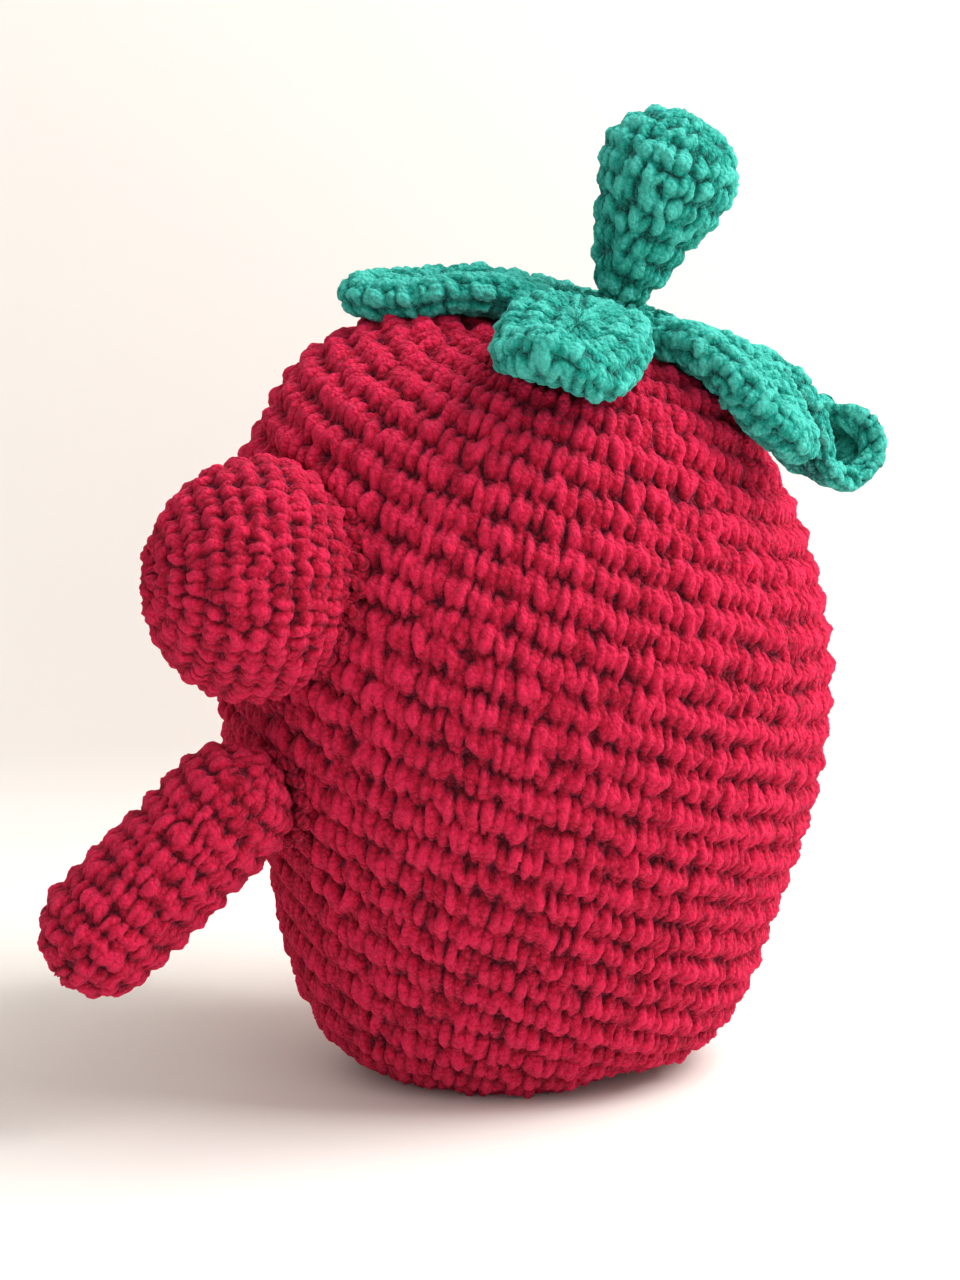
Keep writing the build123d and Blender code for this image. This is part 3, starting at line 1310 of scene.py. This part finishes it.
@dataclass
class Leaf:
    """One leaf of the calyx: a thick pad worked in rounds, with puffy stitches round its edge."""

    name: str
    turn: float
    run: float
    bends: tuple[tuple[float, float], ...]
    cup: float = 3.0
    twist: float = 0.0
    root_half: float = 18.5
    half_wide: float = 18.0
    half_thick: float = 5.6
    pivot: float = 24.2
    pivot_h: float = 4.0
    start: float = -9.0
    nose: float = 5.0
    rounding: float = 0.82
    rounds: int = 7

    def spine(self) -> Array:
        """Distance from the pivot and height above it, down the leaf's middle, every half millimetre.

        Returns:
            Points, from inside the calyx to the tip.
        """
        line = [np.stack([np.linspace(self.start, self.run, 40), np.zeros(40)], axis=1)]
        spot, heading = np.array([self.run, 0.0]), 0.0
        for radius, sweep in self.bends:
            side = math.copysign(1, sweep)
            centre = spot + side * radius * np.array([-math.sin(heading), math.cos(heading)])
            angle = heading + np.radians(np.linspace(0, sweep, 50))[1:]
            bend = centre + side * radius * np.stack([np.sin(angle), -np.cos(angle)], axis=1)
            line.append(bend)
            spot, heading = bend[-1], angle[-1]
        line.append((spot + self.nose * np.array([math.cos(heading), math.sin(heading)]))[None])
        whole = np.concatenate(line)
        length = np.linalg.norm(np.diff(whole, axis=0), axis=1).sum()
        return spaced(whole, round(length * 2) + 1)

    def outline(self, length: float, columns: int) -> Array:
        """The leaf's edge seen flat: distance from its root and distance across, round from the tip.

        Args:
            length: the leaf's length.
            columns: how many points to give the edge.

        Returns:
            Points of the edge.
        """
        angle = np.linspace(0, 2 * math.pi, 900)
        share = 0.5 + 0.5 * np.sign(np.cos(angle)) * np.abs(np.cos(angle)) ** self.rounding
        wide = self.root_half + (self.half_wide - self.root_half) * fade(share, 0.05, 0.6)
        across = wide * np.sign(np.sin(angle)) * np.abs(np.sin(angle)) ** self.rounding
        return spaced(np.stack([share * length, across], axis=1), columns + 1)[:-1]

    def out(self, frame: Array) -> Array:
        """The leaf's direction across the crown.

        Args:
            frame: the crown's frame.

        Returns:
            The unit vector.
        """
        turn = math.radians(self.turn)
        return math.cos(turn) * frame[0] + math.sin(turn) * frame[1]

    def form(self, crown: tuple[Array, Array], columns: int = 48) -> Shell:
        """The leaf as rings from the middle of its top, round its edge, to the middle of its underside.

        Args:
            crown: the calyx's place on the body and its frame.
            columns: points round the edge.

        Returns:
            The smooth leaf.
        """
        line = self.spine()
        length = (len(line) - 1) / 2
        ahead = unit(np.gradient(line, axis=0))
        edge = self.outline(length, columns)
        top = np.array([(0, 0.72), (0.45, 0.74), (0.68, 0.92), (0.84, 1.0), (0.95, 0.72), (1, 0)])
        under = np.array([(1, 0), (0.95, -0.7), (0.82, -0.95), (0.6, -1.0), (0.3, -1.02), (0, -1.02)])
        section = np.concatenate([top, under[1:]]) * (self.half_wide, self.half_thick)
        section = hermite(section, np.linspace(0, len(section) - 1, 200), closed=False)
        section = spaced(section, self.rounds + 1)
        section[:, 0] /= self.half_wide
        middle = np.array([length * 0.52, 0])
        place, frame = crown
        out = self.out(frame)
        local = np.stack([out, np.cross(frame[2], out), frame[2]])
        origin = place + out * self.pivot + frame[2] * self.pivot_h

        def lay(flat: Array, up: float) -> Array:
            """Flat points of the leaf, that far above its middle layer, bent into place."""
            at = np.clip(flat[:, 0] * 2, 0, len(line) - 1.001)
            spot, way = hermite(line, at, closed=False), unit(hermite(ahead, at, closed=False))
            share = flat[:, 0] / length
            rise = up + self.cup * share * (flat[:, 1] / self.half_wide) ** 2
            lean = math.radians(self.twist) * share
            across = flat[:, 1] * np.cos(lean) - rise * np.sin(lean)
            rise = flat[:, 1] * np.sin(lean) + rise * np.cos(lean)
            laid = np.stack([spot[:, 0] - rise * way[:, 1], across, spot[:, 1] + rise * way[:, 0]], axis=1)
            return origin + laid @ local

        rings = np.array([lay(middle + part * (edge - middle), up) for part, up in section[1:-1]])
        first, last = (lay(middle[None], up)[0] for up in (section[0, 1], section[-1, 1]))
        return Shell(first, rings, last)

    def build(self, finishes: Materials, crown: tuple[Array, Array]) -> None:
        """Makes the leaf.

        Args:
            finishes: the toy's materials.
            crown: the calyx's place on the body and its frame.
        """
        place, frame = crown
        out = self.out(frame)
        hinge = place + out * self.pivot
        form = self.form(crown)
        held = ((form.rings - hinge) @ out < 4).astype(float)
        form = inflate(form, held, pressure=1.5, cap=0.8)
        seed = 60 + len(self.name)
        crochet = Crochet(
            self.rounds, stitch=7.0, relief=1.5, ridge=0.3, unevenness=0.3, per_round=10, seed=seed
        )
        leaf = crochet.work(f"leaf_{self.name}_crochet", form, wall=0)
        flex = f"leaf_{self.name}", hinge - out * 5, hinge + out * 9
        fit_out(leaf, f"leaf_{self.name}", finishes.teal, "teal_chenille", flex)


@dataclass
class Calyx:
    """The disc on the crown, its seam and the five leaves."""

    radius: float = 21.0
    thick: float = 7.0
    seam_r: float = 15.0

    def leaves(self) -> list[Leaf]:
        """The five leaves, from the front one round by the toy's left.

        Returns:
            The leaves.
        """
        return [
            Leaf("front", -84, 3, ((50, -27), (50, 24)), twist=-6),
            Leaf(
                "left_front", -6, 6, ((45, -32), (16, 66)), half_wide=20, half_thick=6.8, cup=-4, rounding=1.0
            ),
            Leaf("left_back", 62, 4, ((34, -40), (40, 24)), half_thick=6.2, twist=-14),
            Leaf("right_back", 126, 12, ((39, -66), (9.5, 285)), half_wide=15, half_thick=3.6, cup=0, nose=1),
            Leaf("right_front", 198, 6, ((50, -22), (45, 24))),
        ]

    def build(self, finishes: Materials, body: Body) -> None:
        """Makes the disc, the seam and the leaves.

        Args:
            finishes: the toy's materials.
            body: the body it lies on.
        """
        crown = body.crown()
        place, frame = crown
        half = self.thick / 2
        edge = np.linspace(math.pi / 2, -math.pi / 2, 30)
        rim = np.stack([self.radius - half + half * np.cos(edge), half * np.sin(edge)], axis=1)
        profile = np.concatenate([[[0, half]], rim, [[0, -half]]])
        disc = lathe(profile, place + frame[2] * (half + 0.3), frame, 8, 30)
        crochet = Crochet(8, relief=2.0, seed=80, per_round=8)
        cover = crochet.work("calyx_disc_crochet", disc, wall=0)
        fit_out(cover, "calyx_disc", finishes.teal, "teal_chenille")
        seam = yarn_ring("calyx_running_stitches", self.ring(crown, self.seam_r, 8.2, 20), 1.1, 40, 81)
        fit_out(seam, "calyx_seam", finishes.teal, "teal_yarn")
        for leaf in self.leaves():
            leaf.build(finishes, crown)

    @staticmethod
    def ring(crown: tuple[Array, Array], radius: float, height: float, stitches: int) -> Array:
        """A closed path of stitches round the crown.

        Args:
            crown: the calyx's place on the body and its frame.
            radius: the ring's radius.
            height: its height above the crown.
            stitches: how many stitches it has.

        Returns:
            The closed path.
        """
        place, frame = crown
        angle, flat = circle(stitches * 12, frame)
        wave = stitches * angle
        lift = height + 0.8 * np.sin(wave)
        return place + flat * (radius + 0.8 * np.cos(wave))[:, None] + frame[2] * lift[:, None]


@dataclass
class Stem:
    """The stuffed club that stands on the calyx."""

    foot_r: float = 9.0
    foot_h: float = 16.9
    top: float = 46.5
    rounds: int = 11
    lean: float = 7.0
    seam_r: float = 7.0

    def profile(self) -> Array:
        """Distance from the axis and height above the pivot, from the top down.

        Returns:
            Points of the profile.
        """
        side = np.array(
            [(0, self.top), (9.5, 45), (16.3, 39.5), (19.3, 30.5), (16.5, 20), (13, 10.5), (11, 4), (9.6, 0)]
        )
        side = hermite(side, np.linspace(0, len(side) - 1, 120), closed=False)
        foot = np.linspace(0, math.pi / 2, 20)[1:]
        return np.concatenate([side, np.stack([np.cos(foot), -np.sin(foot)], axis=1) * self.foot_r])

    def build(self, finishes: Materials, body: Body) -> None:
        """Makes the cover, the stuffing and the seam.

        Args:
            finishes: the toy's materials.
            body: the body that the calyx lies on.
        """
        crown = body.crown()
        place, frame = crown
        pivot = place + frame[2] * self.foot_h
        lean = math.radians(self.lean)
        axis = math.cos(lean) * frame[2] + math.sin(lean) * frame[1]
        back = math.cos(lean) * frame[1] - math.sin(lean) * frame[2]
        form = lathe(self.profile(), pivot, np.stack([frame[0], back, axis]), self.rounds, 32)
        held = ((form.rings - pivot) @ frame[2] < 2).astype(float)
        form = inflate(form, held, pressure=2.0, cap=1.2)
        crochet = Crochet(
            self.rounds, relief=1.6, ridge=0.2, unevenness=0.33, slant=0.16, per_round=10, seed=90
        )
        cover = crochet.work("stem_crochet", form, wall=4.0)
        fill = stuffing("stem_fibrefill", form, 5.8, 91)
        flex = "stem", pivot - frame[2] * 6, pivot + frame[2] * 12
        fit_out(cover, "stem_cover", finishes.teal, "teal_chenille", flex)
        fit_out(fill, "stem_stuffing", finishes.fill, "fibrefill", flex)
        seam = yarn_ring("stem_whip_stitches", Calyx.ring(crown, self.seam_r, 8.6, 12), 1.1, 24, 92)
        fit_out(seam, "stem_seam", finishes.teal, "teal_yarn")


@dataclass
class Eyes:
    """The two domed eyes and their washers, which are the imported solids."""

    def build(self, frame: dict, finishes: Materials) -> None:
        """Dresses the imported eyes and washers.

        Args:
            frame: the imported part.
            finishes: the toy's materials.
        """
        for side in Side:
            name = f"eye_{side.name.lower()}"
            for node, finish in ((name, finishes.eye), (f"{name}_washer", finishes.washer)):
                packed = frame["nodes"][node]
                for slot in packed.material_slots:
                    slot.material = finish
                LOG.info("%s: packed solid dressed", node)


@dataclass
class Studio:
    """A pale floor that curves up into a wall, soft light and the camera."""

    azimuth: float = 98.0
    elevation: float = 8.0
    roll: float = -1.5
    distance: float = 0.9
    lens: float = 90.5
    aim: tuple[float, float, float] = (0.0014, -0.0099, 0.121)
    wall: float = 0.25
    spread: float = 2.5
    tall: float = 2.6
    paper: Paper = Paper("warm white paper", (0.84, 0.815, 0.78))

    def back(self) -> Array:
        """The direction from the toy to the camera.

        Returns:
            The unit vector.
        """
        rise = math.radians(self.elevation)
        return heading(self.azimuth) * math.cos(rise) + (0, 0, math.sin(rise))

    def sweep(self) -> None:
        """Makes the floor and the wall behind it in one curved sheet."""
        back, right = heading(self.azimuth), heading(self.azimuth + 90)
        bend = np.linspace(0, math.pi / 2, 13)
        soft = 0.05
        curve = [(soft * (1 - math.sin(a)) - self.wall, soft * (1 - math.cos(a))) for a in bend]
        line = [(self.spread, 0.0), *curve, (-self.wall, self.tall)]
        sides = (-self.spread, self.spread)
        points = [right * side + back * out + (0, 0, up) for out, up in line for side in sides]
        faces = [(2 * i, 2 * i + 1, 2 * i + 3, 2 * i + 2) for i in range(len(line) - 1)]
        floor = new_object("studio_floor", np.array(points) / MM, faces)
        floor.data.materials.append(self.paper.material())

    def lamp(
        self, name: str, place: tuple[float, float, float], size: float, watts: float, warmth: float
    ) -> None:
        """Adds a soft square lamp that faces the toy.

        Args:
            name: the lamp's name.
            place: metres to the right, towards the camera and up.
            size: the side of the square in metres.
            watts: its power.
            warmth: 0 for white, 1 for warm.
        """
        near, right = heading(self.azimuth), heading(self.azimuth + 90)
        spot = right * place[0] + near * place[1] + (0, 0, place[2])
        light = bpy.data.lights.new(name, "AREA")
        light.size = size
        light.energy = watts
        light.color = (1, 1 - 0.06 * warmth, 1 - 0.14 * warmth)
        lamp = bpy.data.objects.new(name, light)
        lamp.location = spot
        lamp.rotation_mode = "QUATERNION"
        lamp.rotation_quaternion = Vector(spot - (0, 0, 0.12)).to_track_quat("Z", "Y")
        bpy.context.scene.collection.objects.link(lamp)

    def build(self) -> None:
        """Makes the floor, the lights and the camera."""
        self.sweep()
        self.lamp("window", (0.8, 0.15, 1.0), 0.9, 21.5, 0.2)
        self.lamp("room", (0.5, 1.5, 0.9), 1.5, 6, 0.3)
        world = bpy.data.worlds.new("studio air")
        world.use_nodes = True
        air = world.node_tree.nodes["Background"]
        air.inputs["Color"].default_value = (1.0, 0.99, 0.97, 1)
        air.inputs["Strength"].default_value = 0.6
        bpy.context.scene.world = world
        camera = bpy.data.cameras.new("camera")
        camera.lens = self.lens
        view = bpy.data.objects.new("camera", camera)
        bpy.context.scene.collection.objects.link(view)
        view.location = np.array(self.aim) + self.back() * self.distance
        view.rotation_mode = "QUATERNION"
        turn = Vector(self.back()).to_track_quat("Z", "Y")
        view.rotation_quaternion = turn @ Quaternion((0, 0, 1), math.radians(self.roll))
        bpy.context.scene.camera = view
        bpy.context.scene.view_settings.view_transform = "Standard"


def main() -> None:
    """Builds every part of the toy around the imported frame."""
    logging.basicConfig(level=logging.INFO, format="%(name)s: %(message)s")
    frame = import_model()
    finishes = Materials.make()
    body = Body()
    cheeks = [Cheek(side) for side in Side]
    arms = [Arm(side) for side in Side]
    sewn_at = [(cheek.centre(), 34.0) for cheek in cheeks] + [(arm.root(), 22.0) for arm in arms]
    body.build(finishes, sewn_at)
    for part in [*cheeks, *arms]:
        part.build(finishes, body)
    Calyx().build(finishes, body)
    Stem().build(finishes, body)
    Eyes().build(frame, finishes)
    Studio().build()


if __name__ == "__main__":
    main()
